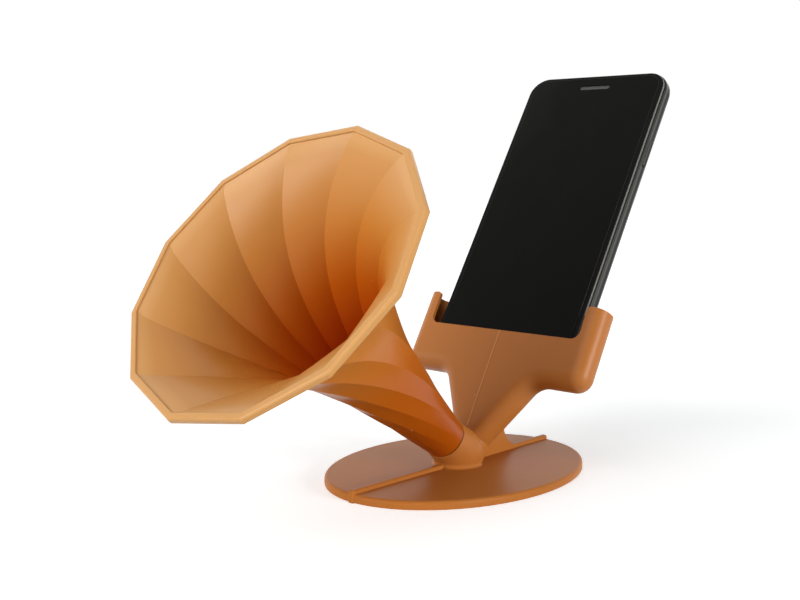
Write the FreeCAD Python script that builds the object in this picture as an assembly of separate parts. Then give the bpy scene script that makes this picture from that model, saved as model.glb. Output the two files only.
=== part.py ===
import FreeCAD, Part
import math
import os

V = FreeCAD.Vector
X_AXIS = V(1, 0, 0)
Y_AXIS = V(0, 1, 0)
Z_AXIS = V(0, 0, 1)
os.makedirs("parts", exist_ok=True)

# A passive horn loudspeaker: a phone stands in a cradle, its sound goes down a
# hollow funnel and an elbow, and comes out of a twisted twelve sided horn.
# Millimetres. X runs across, the horn faces -Y, Z is up, Z = 0 is the table.

# how far a cutting shape runs past the face it opens, and past everything
past = 1.0
far = 200.0
# how near two places are to be one
same = 0.001
# a round end is drawn as this share of its half width, so its faces stay clean
nearly_round = 0.96

# ---------------------------------------------------------------- base plate
base_half_width = 43.8
base_half_length = 63.1
base_thick = 3.2
base_top_edge_r = 1.2
base_foot_edge_r = 0.4
bead_half_width = 1.4
bead_top = 4.7
bead_overhang = 0.7
bead_round = 1.0

# ---------------------------------------------------------------------- horn
facets = 12
facet_angle = 360.0 / facets
horn_rise = 37.4
seam_y = -9.47
seam_z = 15.015
seam_centre = V(0, seam_y, seam_z)
horn_length = 120.0
first_vertex_angle = 84.7
twist_per_mm = 1.05
rim_r = 59.0
rim_band = 2.6
rim_edge_r = 0.9
flare_r = 37.0
flare_mm = 24.2
cone_r = 19.2
cone_slope = 0.1054
horn_wall = 1.8
bell_sections = 14
crowding = 0.55
outer_start = 1.3
mouth_overcut = 0.4
outer_stop = 2.0
inner_stop = 3.0
neck_r = 8.7
neck_collar = 6.5
neck_edge_r = 0.6
neck_bore_r = 5.8
bore_reach = 4.0

spigot_r = 7.15
spigot_length = 7.2
spigot_chamfer = 0.5
socket_clearance = 0.05
socket_end_gap = 0.5
socket_length = spigot_length + socket_end_gap

groove_from_seam = 3.0
groove_width = 1.4
groove_depth = 0.55
seal_side_gap = 0.06
seal_inner_gap = 0.03
seal_outer_gap = 0.03

# -------------------------------------------------------- elbow, funnel, fin
elbow_start_r = 8.7
elbow_end_r = 10.0
elbow_from_seam = 11.0
elbow_edge_r = 0.4
elbow_foot_r = 1.2
duct_r = 5.8
throat_r = 4.8
knee_height = -41.0
throat_in_cavity = 3.0
lean = 29.4
front_foot_y = 21.1
front_foot_z = 46.2
front_foot = V(0, front_foot_y, front_foot_z)
shell_depth = 13.2
shell_wall = 1.6
shell_edge_r = 6.0
shell_corner_r = 6.5
least_flat = 0.3
# heights are measured up the leaning front face
funnel_top_half = 22.7
funnel_corner_r = 7.5
funnel_toe = -36.6
funnel_toe_half = 7.0
stub_half = 6.9
stub_end = -46.0
stub_end_half = 6.4
cavity_top = -10.4
cavity_shoulder_in = 0.6
cavity_end = -36.0
centre_line_half = 0.3
centre_line_proud = 0.2
centre_line_stop = 0.4
fin_half = 1.6
fin_arc_r = 12.0
fin_arc_y = 40.5
fin_crown_y = 31.0
fin_crown_z = 37.5
fin_crown = V(0, fin_crown_y, fin_crown_z)
fin_crown_deep = 6.0
fin_sink = 0.2
fin_root_y = 8.0

# -------------------------------------------------------------------- cradle
cradle_half_width = 44.9
cradle_bottom = -9.3
cradle_top = 25.2
arm_inner_half = 37.5
lip_height = 10.5
lip_corner_r = 3.6
lip_cut_deeper = 0.5
arm_tip_r = 1.5
floor_height = -7.3
floor_edge_r = 2.4
mouth_half = 22.0
mouth_taper = 0.4
mouth_front = 3.6
mouth_back = 9.4
mouth_corner_r = 1.5
mouth_overlap = 0.1
mouth_above_floor = 0.5

# ------------------------------------------------------------- locating pins
pin_r = 1.0
pin_clearance = 0.05
pin_end_gap = 0.3
pin_length = 3.0
pin_height = 2.1
pin_from_end = 11.1
pin_spacing = 22.0

# --------------------------------------------------------------------- phone
phone_half_width = 35.5
phone_length = 151.0
phone_depth = 7.7
phone_corner_r = 9.4
phone_lean = 31.45
phone_front_in_pocket = 2.6
phone_floor_gap = 0.1
glass_thick = 0.9
glass_edge_r = 0.45
glass_inset = 0.7
cover_thick = 0.8
band_wall = 2.2
band_edge_r = 1.6
guard_thick = 0.4
guard_inset = 3.0
guard_from_top = 2.2
guard_foot = 2.6
guard_edge_r = 0.25
guard_slot_gap = 0.35
panel_thick = 1.3
panel_inset = 2.5
panel_foot = 4.0
panel_from_top = 12.0
panel_corner_r = 5.0
plate_gap = 0.2
plate_thick = 0.6
cover_gap = 0.3
slot_clearance = 0.07
part_gap = 0.6

# ------------------------------------------------- keys, switch and card tray
button_proud = 0.45
button_half_deep = 1.15
button_crown_r = 0.25
button_y = 4.3
power_from_top = 34.4
power_length = 13.0
volume_from_top = 35.0
volume_length = 11.0
volume_spacing = 3.0
flange_thick = 0.6
flange_over = 1.0
flange_gap = 0.08
mute_from_top = 23.4
mute_length = 5.0
mute_y = 3.9
mute_half_deep = 0.8
mute_travel = 1.2
mute_proud = 0.2
mute_flange_back = 0.5
tray_below_volume = 7.0
tray_width = 14.0
tray_front = 4.9
tray_thick = 1.2
tray_reach = 21.0
card_width = 8.8
card_length = 12.3
card_thick = 0.75
card_below_tray = 0.05
card_clearance = 0.1
card_from_face = 4.0
card_from_edge = 2.5
eject_hole_r = 0.4
eject_hole_deep = 1.2
eject_from_edge = 1.5

# ------------------------------------------------------- cameras and earpiece
camera_from_side = 12.0
camera_from_top = 12.0
camera_half = 6.8
camera_thick = 3.0
camera_barrel_r = 3.4
camera_barrel_sink = 0.5
camera_well_r = 2.2
camera_well_deep = 1.1
camera_ring_r = 5.2
camera_ring_edge_r = 0.35
camera_ring_bore_gap = 0.15
camera_glass_r = 4.0
camera_glass_thick = 0.6
camera_glass_below = 0.15
camera_proud = 0.8
flash_from_camera = 9.9
flash_r = 1.9
flash_half = 2.0
flash_sink = 0.2
front_camera_r = 1.7
front_camera_half = 2.6
front_camera_thick = 2.4
front_camera_gap = 1.5
front_camera_hole_gap = 0.1
ear_from_top = 7.3
ear_half_high = 0.85
ear_mesh_front = 0.35
ear_mesh_thick = 0.45
ear_in_capsule = 0.9
capsule_gap = 1.4
capsule_half_high = 3.5
capsule_thick = 3.5
capsule_corner_r = 0.8
capsule_way_in = 1.2
capsule_way_deep = 1.3
capsule_way_half_high = 0.6

# -------------------------------------------------- what is behind the plate
board_margin = 1.8
board_width = 20.5
board_thick = 0.9
board_foot = 20.0
board_from_top = 21.0
board_arm_high = 17.8
board_arm_from_top = 12.2
can_sink = 0.4
can_thick = 1.8
can_margin = 1.5
can_from_foot = 4.0
can_from_tray = 5.5
upper_can_length = 29.5
arm_can_from_side = 3.5
arm_can_foot = 3.0
arm_can_head = 2.3
arm_can_width = 9.0
arm_can_gap = 2.0
battery_from_board = 1.5
battery_foot = 24.0
battery_from_top = 33.0
battery_edge_r = 1.2
corner_margin = 2.3
motor_width = 11.0
motor_thick = 3.3
motor_foot = 5.0
motor_length = 12.5
motor_corner_r = 0.8
speaker_foot = 4.5
speaker_length = 15.5
speaker_corner_r = 1.5
speaker_before_vent = 2.0
spout_half = 1.0
spout_into_speaker = 1.0
sound_way_half = 0.6
sound_way_deep = 4.5

# ------------------------------------------------- port, vents and end screws
port_half_wide = 4.5
port_half_deep = 1.35
port_y = 4.9
port_length = 7.2
port_wall = 0.4
port_sink = 0.3
port_end_wall = 0.8
tongue_half_wide = 3.2
tongue_half_thick = 0.35
tongue_sink = 1.6
port_seat_half = 7.5
port_seat_from = 3.4
port_seat_to = 16.0
screw_x = 8.2
screw_head_r = 0.85
screw_head_sink = 0.25
screw_head_to = 0.9
screw_shank_r = 0.5
screw_past_wall = 0.2
screw_recess_r = 0.35
screw_recess_to = 0.55
vent_r = 0.7
vent_count = 6
first_vent_x = 12.0
last_vent_from_corner = 2.1


def ahead(degrees_up):
    a = math.radians(degrees_up)
    return V(0, -math.cos(a), math.sin(a))


def save(shape, name):
    shape.exportStep("parts/" + name + ".step")


def box(x1, x2, y1, y2, z1, z2):
    return Part.makeBox(x2 - x1, y2 - y1, z2 - z1, V(x1, y1, z1))


def rod(radius, start, end):
    return Part.makeCylinder(radius, (end - start).Length, start, end - start)


def fuse(pieces):
    whole = pieces[0].multiFuse(pieces[1:])
    return whole.removeSplitter()


def edges_at(shape, place):
    return [e for e in shape.Edges if (e.CenterOfMass - place).Length < same]


def leaning(shape, foot, degrees):
    """Stands a piece drawn upright (Y into its depth) against the given lean."""
    placed = shape.copy()
    placed.Placement = FreeCAD.Placement(foot, FreeCAD.Rotation(X_AXIS, -degrees))
    return placed


# ======================================================================= HORN
horn_axis = ahead(horn_rise)
inward = horn_axis * -1
rim_up = V(0, math.sin(math.radians(horn_rise)), math.cos(math.radians(horn_rise)))
rim_centre = seam_centre + horn_axis * horn_length


def on_axis(from_seam):
    """Positive numbers go deeper into the stand."""
    return seam_centre + inward * from_seam


def bell_polygon(distance, radius):
    """One twelve sided cross section, turned by the swirl it has reached."""
    corners = []
    for k in range(facets):
        a = math.radians(first_vertex_angle - facet_angle * k + twist_per_mm * distance)
        across = X_AXIS * (radius * math.cos(a)) + rim_up * (radius * math.sin(a))
        corners.append(rim_centre + inward * distance + across)
    return Part.makePolygon(corners + [corners[0]])


def bell_inner_r(distance):
    return cone_r + flare_r * math.exp(-distance / flare_mm) - cone_slope * distance


def bell_outer_r(distance):
    slope = flare_r / flare_mm * math.exp(-distance / flare_mm) + cone_slope
    return bell_inner_r(distance) + horn_wall * math.sqrt(1 + slope * slope)


def bell_loft(radius_at, start, end):
    """Sections crowd towards the mouth, where the bell opens fastest."""
    sections = []
    for i in range(bell_sections):
        t = i / (bell_sections - 1)
        place = start + (end - start) * ((1 - crowding) * t + crowding * t * t)
        sections.append(bell_polygon(place, radius_at(place)))
    return Part.makeLoft(sections, True, False)


outer_bell = bell_loft(bell_outer_r, outer_start, horn_length - outer_stop)
inner_bell = bell_loft(bell_inner_r, -mouth_overcut, horn_length - inner_stop)
rim = Part.Face(bell_polygon(0, rim_r)).extrude(inward * rim_band)
mouth_edges = []
for edge in rim.Edges:
    if all(abs((v.Point - rim_centre).dot(horn_axis)) < same for v in edge.Vertexes):
        mouth_edges.append(edge)
rim = rim.makeFillet(rim_edge_r, mouth_edges)
collar = rod(neck_r, on_axis(-neck_collar), on_axis(0))
collar = collar.makeFillet(neck_edge_r, edges_at(collar, seam_centre))
spigot = rod(spigot_r, on_axis(-past), on_axis(spigot_length))
spigot = spigot.makeChamfer(spigot_chamfer, edges_at(spigot, on_axis(spigot_length)))
bore = rod(neck_bore_r, on_axis(-neck_collar - bore_reach), on_axis(spigot_length + past))
groove = rod(spigot_r + past, on_axis(groove_from_seam), on_axis(groove_from_seam + groove_width))
groove = groove.cut(rod(spigot_r - groove_depth, on_axis(0), on_axis(spigot_length)))
horn = fuse([outer_bell, rim, collar, spigot]).cut(inner_bell).cut(bore).cut(groove).Solids[0]
save(horn, "horn")

# A thin rubber ring in the spigot's groove makes the plug-in horn airtight.
seal_from = groove_from_seam + seal_side_gap
seal_to = groove_from_seam + groove_width - seal_side_gap
seal_outer_r = spigot_r + socket_clearance - seal_outer_gap
seal = rod(seal_outer_r, on_axis(seal_from), on_axis(seal_to))
seal = seal.cut(rod(spigot_r - groove_depth + seal_inner_gap, on_axis(0), on_axis(spigot_length)))
save(seal, "seal_ring")
print("horn", horn.isValid(), horn.ShapeType, round(horn.Volume), "seal", seal.isValid())

# ====================================================================== STAND
outline = Part.Ellipse(V(0, base_half_length, 0), V(base_half_width, 0, 0), V(0, 0, 0))
base = Part.Face(Part.Wire(outline.toShape())).extrude(Z_AXIS * base_thick)
base = base.makeFillet(base_top_edge_r, [e for e in base.Edges if e.BoundBox.ZMin > base_thick - same])
base = base.makeFillet(base_foot_edge_r, [e for e in base.Edges if e.BoundBox.ZMax < same])
bead_end = base_half_length + bead_overhang
bead = box(-bead_half_width, bead_half_width, -bead_end, bead_end, 0, bead_top)
bead = bead.makeFillet(bead_round, [e for e in bead.Edges if e.BoundBox.ZMax > same])


def leaning_section(height, half, front, back, corner_r):
    """A rounded oblong lying across the funnel."""
    r = min(corner_r, half - least_flat, (back - front) / 2 - least_flat)
    k = r * math.sqrt(0.5)
    edges = []
    marks = ((half, front, 1, 1), (half, back, 1, -1), (-half, back, -1, -1), (-half, front, -1, 1))
    starts = []
    for n, (cx, cy, sx, sy) in enumerate(marks):
        mid = V(cx - sx * r + sx * k, cy + sy * r - sy * k, height)
        side = V(cx, cy + sy * r, height)
        end = V(cx - sx * r, cy, height)
        first, last = (end, side) if n % 2 == 0 else (side, end)
        starts.append((first, mid, last))
    for n, (first, mid, last) in enumerate(starts):
        edges.append(Part.Arc(first, mid, last).toShape())
        edges.append(Part.makeLine(last, starts[(n + 1) % 4][0]))
    return Part.Wire(edges)


def funnel_half(height):
    share = (height - cradle_bottom) / (funnel_toe - cradle_bottom)
    return funnel_top_half + (funnel_toe_half - funnel_top_half) * share


# Cradle and funnel are one rounded shell: wide as the cradle at the top, then
# tapering down to the elbow. The funnel is hollow all the way.
corners = [(cradle_half_width, cradle_top), (cradle_half_width, cradle_bottom),
           (funnel_top_half, cradle_bottom), (funnel_toe_half, funnel_toe)]
corners += [(-x, z) for x, z in reversed(corners)]
front = Part.makePolygon([V(x, 0, z) for x, z in corners + corners[:1]])
shell = Part.Face(front).extrude(Y_AXIS * shell_depth)


def corner_edges(shape, half, height):
    found = []
    for e in shape.Edges:
        middle = e.CenterOfMass
        if abs(abs(middle.x) - half) < same and abs(middle.z - height) < same and e.BoundBox.YLength > past:
            found.append(e)
    return found


shell = shell.makeFillet(shell_corner_r, corner_edges(shell, cradle_half_width, cradle_bottom))
shell = shell.makeFillet(funnel_corner_r, corner_edges(shell, funnel_top_half, cradle_bottom))
rounded = []
for e in shell.Edges:
    ends_free = funnel_toe + same < e.CenterOfMass.z < cradle_top - same
    if e.BoundBox.YLength < same and ends_free:
        rounded.append(e)
shell = shell.makeFillet(shell_edge_r, rounded)
stub_line = ((funnel_toe, stub_half), (stub_end, stub_end_half))
stub = Part.makeLoft([leaning_section(h, w, 0, shell_depth, shell_edge_r) for h, w in stub_line], True, True)
cavity_line = [(cavity_top, funnel_half(cavity_top) - shell_wall - cavity_shoulder_in),
               (cavity_end, funnel_half(cavity_end) - shell_wall)]
cavity = Part.makeLoft([leaning_section(h, w, shell_wall, shell_depth - shell_wall, shell_edge_r - shell_wall)
                        for h, w in cavity_line], True, True)
mouth_line = ((floor_height + mouth_above_floor, mouth_half),
              (cavity_top - mouth_overlap, mouth_half - mouth_taper))
mouth = Part.makeLoft([leaning_section(h, w, mouth_front, mouth_back, mouth_corner_r) for h, w in mouth_line],
                      True, True)

# The phone's pocket, with a window cut in the wall in front of it.
inner_half = cradle_half_width - shell_wall
pocket = box(-inner_half, inner_half, shell_wall, shell_depth - shell_wall, floor_height, cradle_top + past)
pocket = pocket.makeFillet(shell_edge_r - shell_wall, [e for e in pocket.Edges if e.BoundBox.ZLength > past])
pocket = pocket.makeFillet(floor_edge_r, [e for e in pocket.Edges if e.BoundBox.ZMax < floor_height + same])


def lip_opening():
    """The U shaped window in the front wall, with rounded arm tips above it."""
    side = arm_inner_half
    tip = cradle_top - arm_tip_r
    outer = side + arm_tip_r
    inner = side - lip_corner_r
    corner = lip_height + lip_corner_r
    k = math.sqrt(0.5)
    right = [V(outer, -past, cradle_top + past), V(outer, -past, cradle_top),
             V(outer - arm_tip_r * k, -past, tip + arm_tip_r * k), V(side, -past, tip),
             V(side, -past, corner),
             V(inner + lip_corner_r * k, -past, corner - lip_corner_r * k),
             V(inner, -past, lip_height)]
    left = [V(-p.x, p.y, p.z) for p in right]
    edges = []
    for half in (right, left):
        edges.append(Part.makeLine(half[0], half[1]))
        edges.append(Part.Arc(half[1], half[2], half[3]).toShape())
        edges.append(Part.makeLine(half[3], half[4]))
        edges.append(Part.Arc(half[4], half[5], half[6]).toShape())
    edges.append(Part.makeLine(right[6], left[6]))
    edges.append(Part.makeLine(right[0], left[0]))
    face = Part.Face(Part.Wire(Part.__sortEdges__(edges)))
    return face.extrude(Y_AXIS * (past + shell_wall + lip_cut_deeper))


centre_line = box(-centre_line_half, centre_line_half, -centre_line_proud, shell_wall,
                  funnel_toe, lip_height - centre_line_stop)

# The elbow swells a little from the seam and runs into a ball without a crease.
elbow_centre = on_axis(elbow_from_seam)
seam_to_ball = math.hypot(elbow_from_seam, elbow_start_r)
swell = math.atan2(elbow_from_seam, elbow_start_r) - math.acos(elbow_end_r / seam_to_ball)
elbow_length = elbow_from_seam - elbow_end_r * math.sin(swell)
elbow = Part.makeCone(elbow_start_r, elbow_end_r * math.cos(swell), elbow_length, seam_centre, -horn_axis)
elbow = elbow.makeFillet(elbow_edge_r, edges_at(elbow, seam_centre))
elbow_ball = Part.makeSphere(elbow_end_r, elbow_centre)
below_table = box(-far, far, -far, far, -far, 0)
base = fuse([base, elbow, elbow_ball]).cut(below_table)
foot_line = []
for e in base.Edges:
    on_top = abs(e.BoundBox.ZMin - base_thick) < same and abs(e.BoundBox.ZMax - base_thick) < same
    if on_top and e.BoundBox.DiagonalLength < base_half_width:
        foot_line.append(e)
base = base.makeFillet(elbow_foot_r, foot_line)

# The fin behind props the funnel up: a web with a hollow curve down to the bead.
fin_low = V(0, fin_arc_y, bead_top - fin_sink)
fin_turn = fin_low + V(0, 0, fin_arc_r)
fin_mid = fin_turn + V(0, -fin_arc_r, -fin_arc_r) * math.sqrt(0.5)
fin_side = fin_turn + V(0, -fin_arc_r, 0)
fin_back = fin_crown + V(0, -fin_crown_deep, 0)
fin_root = V(0, fin_root_y, base_thick / 2)
fin_heel = V(0, fin_arc_y, base_thick / 2)
fin_edges = [Part.Arc(fin_low, fin_mid, fin_side).toShape()]
fin_corners = (fin_side, fin_crown, fin_back, fin_root, fin_heel, fin_low)
for start, end in zip(fin_corners, fin_corners[1:]):
    fin_edges.append(Part.makeLine(start, end))
fin = Part.Face(Part.Wire(fin_edges)).extrude(X_AXIS * (2 * fin_half))
fin.translate(V(-fin_half, 0, 0))

stand = fuse([base, bead, fin] + [leaning(s, front_foot, lean) for s in (shell, stub, centre_line)])
socket = rod(spigot_r + socket_clearance, on_axis(-past), on_axis(socket_length))
duct = Part.makeSphere(duct_r, elbow_centre).fuse(rod(duct_r, on_axis(socket_length - past), elbow_centre))
cradle_deep = V(0, math.cos(math.radians(lean)), -math.sin(math.radians(lean)))
cradle_up = V(0, math.sin(math.radians(lean)), math.cos(math.radians(lean)))
knee = front_foot + cradle_deep * (shell_depth / 2) + cradle_up * knee_height
cavity_foot = knee + cradle_up * (cavity_end + throat_in_cavity - knee_height)
throat = Part.makeSphere(throat_r, knee).fuse(rod(throat_r, knee, cavity_foot))
throat = throat.fuse(rod(throat_r, elbow_centre, knee))
for hollow in (below_table, socket, duct, throat):
    stand = stand.cut(hollow)
for hollow in (cavity, mouth, pocket, lip_opening()):
    stand = stand.cut(leaning(hollow, front_foot, lean))
stand = stand.removeSplitter()
print("stand", stand.isValid(), len(stand.Solids), round(stand.Volume))

# It is moulded as two halves, pinned and glued along the middle plane.
left_half = stand.common(box(-far, 0, -far, far, -far, far))
right_half = stand.common(box(0, far, -far, far, -far, far))
last_pin = base_half_length - pin_from_end
for y in (-last_pin, pin_spacing - last_pin, last_pin - pin_spacing, last_pin):
    pin_start = V(-past, y, pin_height)
    pin_end = V(pin_length, y, pin_height)
    left_half = left_half.fuse(rod(pin_r, pin_start, pin_end))
    right_half = right_half.cut(rod(pin_r + pin_clearance, pin_start, pin_end + X_AXIS * pin_end_gap))
save(left_half, "stand_left_half")
save(right_half, "stand_right_half")
print("halves", left_half.isValid(), len(left_half.Solids), right_half.isValid(), len(right_half.Solids))

# ====================================================================== PHONE
tilt_in_pocket = math.radians(phone_lean - lean)
phone_raise = floor_height + phone_floor_gap + phone_depth * math.sin(tilt_in_pocket)
phone_foot = front_foot + cradle_deep * phone_front_in_pocket + cradle_up * phone_raise


def save_phone_piece(shape, name):
    """Phone pieces are drawn upright: X across, Y into the depth, Z up the phone."""
    print(name, shape.isValid(), len(shape.Solids))
    save(leaning(shape, phone_foot, phone_lean), name)


def edges_along(shape, axis):
    """The edges that run along one axis, found by the two lengths they don't have."""
    found = []
    for e in shape.Edges:
        lengths = {"x": e.BoundBox.XLength, "y": e.BoundBox.YLength, "z": e.BoundBox.ZLength}
        long_way = lengths.pop(axis)
        if long_way > same and all(other < same for other in lengths.values()):
            found.append(e)
    return found


def slab(half, z1, z2, y1, y2, corner_r):
    body = box(-half, half, y1, y2, z1, z2)
    return body.makeFillet(corner_r, edges_along(body, "y"))


def outline_edges(shape, y):
    return [e for e in shape.Edges if abs(e.BoundBox.YMin - y) < same and abs(e.BoundBox.YMax - y) < same]


def from_top(distance, length):
    return (phone_length - distance - length, phone_length - distance)


def key_through_side(x1, x2, z, y, half_deep):
    """A round ended key lying through the side wall, its long way up the phone."""
    body = box(min(x1, x2), max(x1, x2), y - half_deep, y + half_deep, z[0], z[1])
    return body.makeFillet(half_deep * nearly_round, edges_along(body, "x"))


def through_depth(x, z, radius, y1, y2):
    return rod(radius, V(x, y1, z), V(x, y2, z))


def up_phone(x, y, radius, z1, z2):
    return rod(radius, V(x, y, z1), V(x, y, z2))


def grown(z, amount):
    return (z[0] - amount, z[1] + amount)


def port_block(grow, z1, z2):
    half_deep = port_half_deep + grow
    block = box(-port_half_wide - grow, port_half_wide + grow, port_y - half_deep, port_y + half_deep, z1, z2)
    return block.makeFillet(half_deep * nearly_round, edges_along(block, "z"))


wall_inside = phone_half_width - band_wall
outside = phone_half_width + past
cover_front = phone_depth - cover_thick
panel_back = glass_thick + panel_thick
plate_front = panel_back + plate_gap
plate_back = plate_front + plate_thick
inside_back = cover_front - cover_gap
power_z = from_top(power_from_top, power_length)
volume_up_z = from_top(volume_from_top, volume_length)
volume_down_z = from_top(volume_from_top + volume_length + volume_spacing, volume_length)
mute_z = from_top(mute_from_top, mute_length)
tray_foot = volume_down_z[0] - tray_below_volume - tray_width
tray_back = tray_front + tray_thick
ear_z = phone_length - ear_from_top
camera_x = phone_half_width - camera_from_side
camera_z = phone_length - camera_from_top
flash_x = camera_x - flash_from_camera
front_camera_x = camera_x - camera_half - front_camera_gap - front_camera_half
capsule_half = front_camera_x - front_camera_half - capsule_gap
ear_half = capsule_half - ear_in_capsule
last_vent_x = phone_half_width - phone_corner_r - last_vent_from_corner
vent_step = (last_vent_x - first_vent_x) / (vent_count - 1)

# The metal band with its middle plate carries everything else.
band = slab(phone_half_width, 0, phone_length, glass_thick, cover_front, phone_corner_r)
band = band.makeFillet(band_edge_r, outline_edges(band, glass_thick) + outline_edges(band, cover_front))
well_from, well_to = band_wall, phone_length - band_wall
well_corner_r = phone_corner_r - band_wall
frame = band.cut(slab(wall_inside, well_from, well_to, -past, plate_front, well_corner_r))
frame = frame.cut(slab(wall_inside, well_from, well_to, plate_back, phone_depth + past, well_corner_r))
for side, z in ((1, power_z), (-1, volume_up_z), (-1, volume_down_z)):
    frame = frame.cut(key_through_side(side * outside, side * (wall_inside - slot_clearance),
                                       grown(z, slot_clearance), button_y, button_half_deep + slot_clearance))
mute_slot = box(-outside, slot_clearance - wall_inside, mute_y - mute_half_deep - slot_clearance,
                mute_y + mute_half_deep + mute_travel + slot_clearance,
                mute_z[0] - slot_clearance, mute_z[1] + slot_clearance)
tray_slot = box(-outside, slot_clearance - wall_inside,
                tray_front - slot_clearance, tray_back + slot_clearance,
                tray_foot - slot_clearance, tray_foot + tray_width + slot_clearance)
port_hole = port_block(0, -past, port_length - port_end_wall)
port_room = port_block(port_wall, port_sink, band_wall + slot_clearance)
ear_room_half = capsule_half + part_gap
ear_room_half_high = capsule_half_high + part_gap
ear_room = box(-ear_room_half, ear_room_half, plate_front - past, plate_back + past,
               ear_z - ear_room_half_high, ear_z + ear_room_half_high)
front_eye_hole = through_depth(front_camera_x, ear_z, front_camera_r + front_camera_hole_gap,
                               0, plate_back + past)
for hole in (mute_slot, tray_slot, port_hole, port_room, ear_room, front_eye_hole):
    frame = frame.cut(hole)
for x in (-screw_x, screw_x):
    frame = frame.cut(up_phone(x, port_y, screw_head_r + slot_clearance, -past, screw_head_to))
    frame = frame.cut(up_phone(x, port_y, screw_shank_r, 0, band_wall + past))
for n in range(vent_count):
    vent_x = first_vent_x + vent_step * n
    for x in (-vent_x, vent_x):
        frame = frame.cut(up_phone(x, port_y, vent_r, -past, band_wall + past))
save_phone_piece(frame, "phone_frame")

# Front glass with the listening slot, the dark panel bonded behind it.
glass = slab(phone_half_width - glass_inset, glass_inset, phone_length - glass_inset, 0, glass_thick,
             phone_corner_r - glass_inset)
glass = glass.makeFillet(glass_edge_r, outline_edges(glass, 0))
ear_slot = box(-ear_half, ear_half, -past, glass_thick + past, ear_z - ear_half_high, ear_z + ear_half_high)
ear_slot = ear_slot.makeFillet(ear_half_high * nearly_round, edges_along(ear_slot, "y"))
save_phone_piece(glass.cut(ear_slot), "phone_front_glass")
# A second, thinner glass is stuck over the front to guard it.
guard_half = phone_half_width - guard_inset
guard = slab(guard_half, guard_foot, phone_length - guard_from_top, -guard_thick, 0,
             phone_corner_r - guard_inset)
guard = guard.makeFillet(guard_edge_r, outline_edges(guard, -guard_thick))
guard_slot_half = ear_half + guard_slot_gap
guard_slot_half_high = ear_half_high + guard_slot_gap
guard_slot = box(-guard_slot_half, guard_slot_half, -past, past, ear_z - guard_slot_half_high,
                 ear_z + guard_slot_half_high)
guard_slot = guard_slot.makeFillet(guard_slot_half_high * nearly_round, edges_along(guard_slot, "y"))
save_phone_piece(guard.cut(guard_slot), "phone_screen_guard")
panel = slab(phone_half_width - panel_inset, panel_foot, phone_length - panel_from_top,
             glass_thick, panel_back, panel_corner_r)
save_phone_piece(panel, "phone_display_panel")
mesh_half = ear_half - slot_clearance
mesh_half_high = ear_half_high - slot_clearance
mesh = box(-mesh_half, mesh_half, ear_mesh_front, ear_mesh_front + ear_mesh_thick,
           ear_z - mesh_half_high, ear_z + mesh_half_high)
mesh = mesh.makeFillet(mesh_half_high * nearly_round, edges_along(mesh, "y"))
save_phone_piece(mesh, "phone_earpiece_mesh")

# The listening capsule: a flat box with a sound way towards the glass.
capsule = box(-capsule_half, capsule_half, glass_thick, glass_thick + capsule_thick,
              ear_z - capsule_half_high, ear_z + capsule_half_high)
capsule = capsule.makeFillet(capsule_corner_r, edges_along(capsule, "y"))
capsule_way_half = ear_half - capsule_way_in
capsule = capsule.cut(box(-capsule_way_half, capsule_way_half, 0, glass_thick + capsule_way_deep,
                          ear_z - capsule_way_half_high, ear_z + capsule_way_half_high))
save_phone_piece(capsule, "phone_earpiece")
front_camera_back = plate_back + front_camera_thick
front_eye = through_depth(front_camera_x, ear_z, front_camera_r,
                          glass_thick, front_camera_back - slot_clearance)
front_eye = front_eye.fuse(box(front_camera_x - front_camera_half, front_camera_x + front_camera_half,
                               plate_back, front_camera_back,
                               ear_z - front_camera_half, ear_z + front_camera_half))
save_phone_piece(front_eye, "phone_front_camera")

# Behind the plate: board with its screening cans, battery, motor, loudspeaker.
board_left = board_margin - wall_inside
board_right = board_left + board_width
board_back = plate_back + board_thick
arm_right = flash_x - flash_half - part_gap
arm_head = phone_length - board_arm_from_top
arm_foot = arm_head - board_arm_high
board = box(board_left, board_right, plate_back, board_back, board_foot, phone_length - board_from_top)
board = board.fuse(box(board_left, arm_right, plate_back, board_back, arm_foot, arm_head))
column = (board_left + can_margin, board_right - can_margin)
small_can = (arm_right - arm_can_gap - arm_can_width, arm_right - arm_can_gap)
large_can = (board_left + arm_can_from_side, small_can[0] - arm_can_gap)
upper_can_foot = tray_foot + tray_width + can_from_tray
arm_can_z = (arm_foot + arm_can_foot, arm_head - arm_can_head)
for (x1, x2), (z1, z2) in ((column, (board_foot + can_from_foot, tray_foot - can_from_tray)),
                           (column, (upper_can_foot, upper_can_foot + upper_can_length)),
                           (large_can, arm_can_z), (small_can, arm_can_z)):
    board = board.fuse(box(x1, x2, board_back - can_sink, board_back - can_sink + can_thick, z1, z2))
save_phone_piece(board, "phone_logic_board")
battery = box(board_right + battery_from_board, wall_inside - board_margin, plate_back, inside_back,
              battery_foot, phone_length - battery_from_top)
battery = battery.makeFillet(battery_edge_r, edges_along(battery, "z"))
save_phone_piece(battery, "phone_battery")
speaker = box(first_vent_x - speaker_before_vent, wall_inside - corner_margin, plate_back, inside_back,
              speaker_foot, speaker_foot + speaker_length)
speaker = speaker.makeFillet(speaker_corner_r, edges_along(speaker, "y"))
speaker_spout = box(first_vent_x - spout_half, last_vent_x + spout_half,
                    port_y - spout_half, port_y + spout_half,
                    band_wall, speaker_foot + spout_into_speaker)
sound_way = box(first_vent_x - sound_way_half, last_vent_x + sound_way_half, port_y - sound_way_half,
                port_y + sound_way_half, 0, speaker_foot + sound_way_deep)
save_phone_piece(speaker.fuse(speaker_spout).cut(sound_way), "phone_bottom_speaker")
motor_left = corner_margin - wall_inside
motor = box(motor_left, motor_left + motor_width, plate_back, plate_back + motor_thick,
            motor_foot, motor_foot + motor_length)
motor = motor.makeFillet(motor_corner_r, edges_along(motor, "y"))
save_phone_piece(motor, "phone_vibration_motor")

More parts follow.
